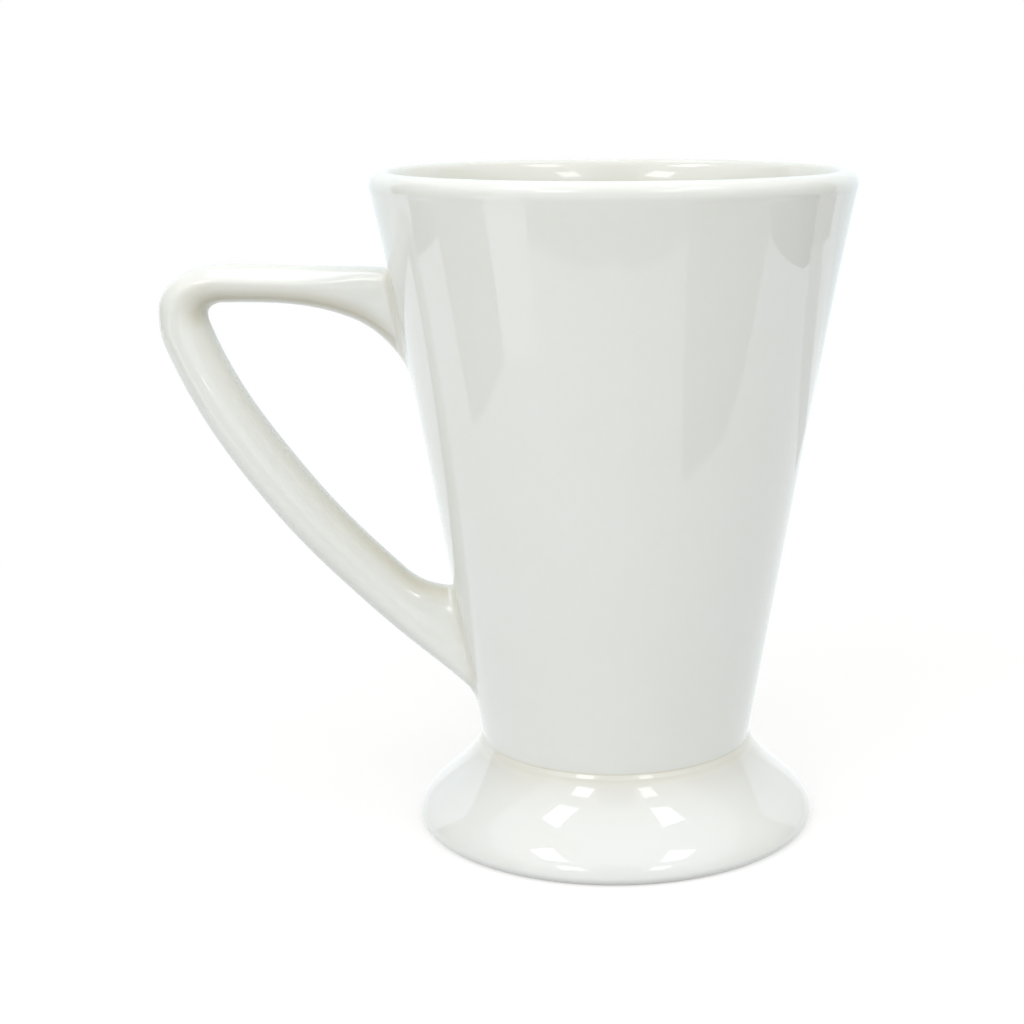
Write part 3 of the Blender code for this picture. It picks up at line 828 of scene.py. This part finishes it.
def makeFloor():
    mesh = bpy.data.meshes.new("floor")
    bm = bmesh.new()
    bmesh.ops.create_grid(bm, x_segments=floor["squares"], y_segments=floor["squares"], size=floor["size"])
    bm.to_mesh(mesh)
    bm.free()
    piece = bpy.data.objects.new("floor", mesh)
    scene.collection.objects.link(piece)
    material, tree = emptyMaterial("floorPaper")
    place = addNode(tree, "ShaderNodeTexCoord").outputs["Object"]
    away = addVectorMath(tree, "LENGTH", addVectorMath(tree, "SUBTRACT", place, (mugAxis, 0, 0)))
    far = addRange(tree, away, floor["nearRadius"], floor["farRadius"], 0.0, 1.0)
    seen, mirrored = addRays(tree)
    paper = addNode(tree, "ShaderNodeBsdfDiffuse", {"Color": (*floor["color"], 1)})
    lift = addNode(tree, "ShaderNodeEmission", {"Strength": addMath(tree, "MULTIPLY", seen, floor["lift"])})
    lifted = addNode(tree, "ShaderNodeAddShader", {0: paper.outputs[0], 1: lift.outputs[0]})
    white = addNode(tree, "ShaderNodeEmission", {"Strength": 1.0})
    mixed = addNode(tree, "ShaderNodeMixShader", {
        0: addMath(tree, "MULTIPLY", far, seen), 1: lifted.outputs[0], 2: white.outputs[0]})
    gleam = addNode(tree, "ShaderNodeEmission", {
        "Color": (*floor["gleamColor"], 1), "Strength": addMath(tree, "MULTIPLY", mirrored, floor["gleam"])})
    paperSeen = addNode(tree, "ShaderNodeAddShader", {0: mixed.outputs[0], 1: gleam.outputs[0]})
    addNode(tree, "ShaderNodeOutputMaterial", {"Surface": paperSeen.outputs[0]})
    mesh.materials.append(material)


makeFloor()

# world: white to the camera and in reflections, softer as light
worldLight = 0.86
world = bpy.data.worlds.new("studio")
scene.world = world
world.use_nodes = True
worldTree = world.node_tree
background = worldTree.nodes["Background"]
background.inputs["Color"].default_value = (1, 1, 1, 1)
worldTree.links.new(addRange(worldTree, addRays(worldTree)[0], 0.0, 1.0, worldLight, 1.0),
                    background.inputs["Strength"])

# lamps: four ceiling panels, which the glaze shows as four-cornered lights, and two soft ones that only fill
lamps = {
    "height": 0.5,
    "panels": {
        "frontLeft": {"radiance": 6.5, "corners": [
            (-0.374, -0.574), (-0.184, -0.553), (-0.207, -0.425), (-0.336, -0.400)]},
        "nearLeft": {"radiance": 6.5, "corners": [
            (-0.336, -0.264), (-0.210, -0.297), (-0.239, -0.139), (-0.347, -0.116)]},
        "frontRight": {"radiance": 5.5, "corners": [
            (0.320, -0.555), (0.201, -0.561), (0.202, -0.418), (0.316, -0.403)]},
        "nearRight": {"radiance": 5.5, "corners": [
            (0.308, -0.267), (0.194, -0.308), (0.199, -0.166), (0.319, -0.131)]},
    },
    "fills": {
        "frontFill": {"azimuth": -20, "elevation": 12, "distance": 1.4, "size": (1.0, 0.8), "radiance": 1.25},
        "rightFill": {"azimuth": 95, "elevation": 62, "distance": 1.4, "size": (0.5, 0.5), "radiance": 1.2},
    },
    "aimHeight": 0.06,        # the fills point at the mug here
    "color": (0.985, 0.992, 1.0),
}


def toward(azimuth, elevation):
    # azimuth 0 is towards the camera and 90 to its right
    a, e = math.radians(azimuth), math.radians(elevation)
    return Vector((math.cos(e) * math.sin(a), -math.cos(e) * math.cos(a), math.sin(e)))


def addLamp(name, size, radiance, matrix):
    lamp = bpy.data.lights.new(name, "AREA")
    lamp.shape = "RECTANGLE"
    lamp.size, lamp.size_y = size
    lamp.energy = radiance * math.pi * size[0] * size[1]
    lamp.color = lamps["color"]
    lampObject = bpy.data.objects.new(name, lamp)
    scene.collection.objects.link(lampObject)
    lampObject.matrix_world = matrix
    lampObject.visible_camera = lampObject.visible_glossy = False


def addCard(name, color, corners):
    # a glowing card that only the glaze shows
    mesh = bpy.data.meshes.new(name)
    mesh.from_pydata([(x + mugAxis, y, z) for x, y, z in corners], [], [tuple(range(len(corners)))])
    card = bpy.data.objects.new(name, mesh)
    scene.collection.objects.link(card)
    material, tree = emptyMaterial(name)
    glow = addNode(tree, "ShaderNodeEmission", {"Color": (*color, 1), "Strength": 1.0})
    addNode(tree, "ShaderNodeOutputMaterial", {"Surface": glow.outputs[0]})
    mesh.materials.append(material)
    card.visible_camera = card.visible_diffuse = card.visible_shadow = card.visible_transmission = False


for name, panel in lamps["panels"].items():
    corners = np.array(panel["corners"])
    middle = corners.mean(0)
    wide = np.linalg.norm(corners[0] + corners[3] - corners[1] - corners[2]) / 2
    deep = np.linalg.norm(corners[0] + corners[1] - corners[2] - corners[3]) / 2
    addLamp(name, (wide, deep), panel["radiance"],
            Matrix.Translation((mugAxis + middle[0], middle[1], lamps["height"])))
    addCard(name + "Card", [panel["radiance"] * c for c in lamps["color"]],
            [(x, y, lamps["height"]) for x, y in panel["corners"]])
for name, fill in lamps["fills"].items():
    line = toward(fill["azimuth"], fill["elevation"])
    place = Matrix.Translation(Vector((mugAxis, 0, lamps["aimHeight"])) + fill["distance"] * line)
    addLamp(name, fill["size"], fill["radiance"], place @ line.to_track_quat("Z", "Y").to_matrix().to_4x4())

# more cards that only the glaze shows, placed from the mug's axis
cards = {
    # boards beyond the paper's edges, and one white card at the front left
    "flatHeight": 0.0008,
    "flat": {
        "leftBoard": {"color": (0.24, 0.20, 0.12), "corners": [
            (-0.375, 0.0), (-0.39, 0.14), (-0.9, 0.16), (-0.9, 0.0)]},
        "frontLeftBoard": {"color": (0.40, 0.35, 0.25), "corners": [
            (-0.9, 0.0), (-0.375, 0.0), (-0.22, -0.022), (-0.21, -0.10), (-0.20, -0.131), (-0.9, -0.41)]},
        "whiteCard": {"color": (1.75, 1.75, 1.85), "corners": [
            (-0.20, -0.131), (-0.14, -0.187), (-0.74, -0.694), (-0.9, -0.41)]},
        "frontBoard": {"color": (0.58, 0.53, 0.44), "corners": [
            (-0.18, -0.2208), (-0.14, -0.24), (0.0, -0.265), (0.16, -0.24), (0.9, -0.9), (-0.74, -0.92),
            (-0.74, -0.694)]},
        "frontRightBoard": {"color": (0.48, 0.43, 0.33), "corners": [
            (0.10, -0.13), (0.18, -0.092), (0.26, -0.078), (0.33, -0.085), (0.9, -0.20), (0.9, -0.9),
            (0.16, -0.24)]},
        "rightBoard": {"color": (0.04, 0.03, 0.01), "corners": [
            (0.33, -0.085), (0.355, 0.02), (0.370, 0.10), (0.385, 0.14), (0.9, 0.16), (0.9, -0.20)]},
        "rightBackBoard": {"color": (0.62, 0.60, 0.54), "corners": [
            (0.40, 0.14), (0.43, 0.31), (0.9, 0.50), (0.9, 0.16)]},
        "backBand": {"color": (0.84, 0.86, 0.86), "corners": [
            (0.16, 0.21), (0.40, 0.13), (0.42, 0.25), (0.17, 0.30)]},
    },
    # over the mug, seen on the lip and the top of the handle
    "overheadHeight": 0.62,
    "overhead": {
        "overheadLeft": {"color": (3.1, 3.2, 3.6), "corners": [
            (-0.26, -0.08), (-0.108, -0.08), (-0.108, 0.195), (-0.26, 0.195)]},
        "overheadRight": {"color": (1.6, 1.63, 1.66), "corners": [
            (-0.108, -0.08), (0.30, -0.08), (0.30, 0.30), (-0.108, 0.30)]},
    },
    # upright: where they start and end on the floor, and from what height to what height they go
    "upright": {
        "leftSide": {"color": (0.16, 0.14, 0.03), "heights": (0.03, 0.42),
                     "start": (-0.42, 0.235), "end": (-0.62, -0.45)},
        "rightSide": {"color": (0.42, 0.40, 0.28), "heights": (0.03, 0.42),
                      "start": (0.41, 0.225), "end": (0.62, -0.45)},
        "frontSide": {"color": (0.30, 0.28, 0.22), "heights": (0.17, 0.42),
                      "start": (-0.62, -0.58), "end": (0.62, -0.58)},
        "cameraSide": {"color": (0.06, 0.05, 0.01), "heights": (0.17, 0.80),
                       "start": (-0.15, -0.56), "end": (0.16, -0.56)},
        "frontStrip": {"color": (1.5, 1.55, 1.6), "heights": (0.004, 0.10),
                       "start": (-0.05, -0.90), "end": (0.02, -0.90)},
        "backdrop": {"color": (1.02, 1.12, 1.16), "heights": (0.03, 0.80),
                     "start": (-0.54, 0.30), "end": (0.54, 0.30)},
    },
    # a slanting card, for the short bright line on the handle's bar
    "spark": {"color": (6.0, 6.1, 6.2), "y": -0.90, "corners": [
        (-0.135, 0.0140), (-0.085, 0.0390), (-0.085, 0.0495), (-0.135, 0.0245)]},
}

spark = cards["spark"]
addCard("spark", spark["color"], [(x, spark["y"], z) for x, z in spark["corners"]])
for level in ("flat", "overhead"):
    for name, card in cards[level].items():
        addCard(name, card["color"], [(x, y, cards[level + "Height"]) for x, y in card["corners"]])
for name, card in cards["upright"].items():
    low, high = card["heights"]
    (x0, y0), (x1, y1) = card["start"], card["end"]
    addCard(name, card["color"], [(x0, y0, low), (x1, y1, low), (x1, y1, high), (x0, y0, high)])
lampCount = len(lamps["panels"]) + len(lamps["fills"])
cardCount = len(lamps["panels"]) + 1 + sum(len(cards[kind]) for kind in ("flat", "overhead", "upright"))
print("studio: floor, world,", lampCount, "lamps and", cardCount, "cards")
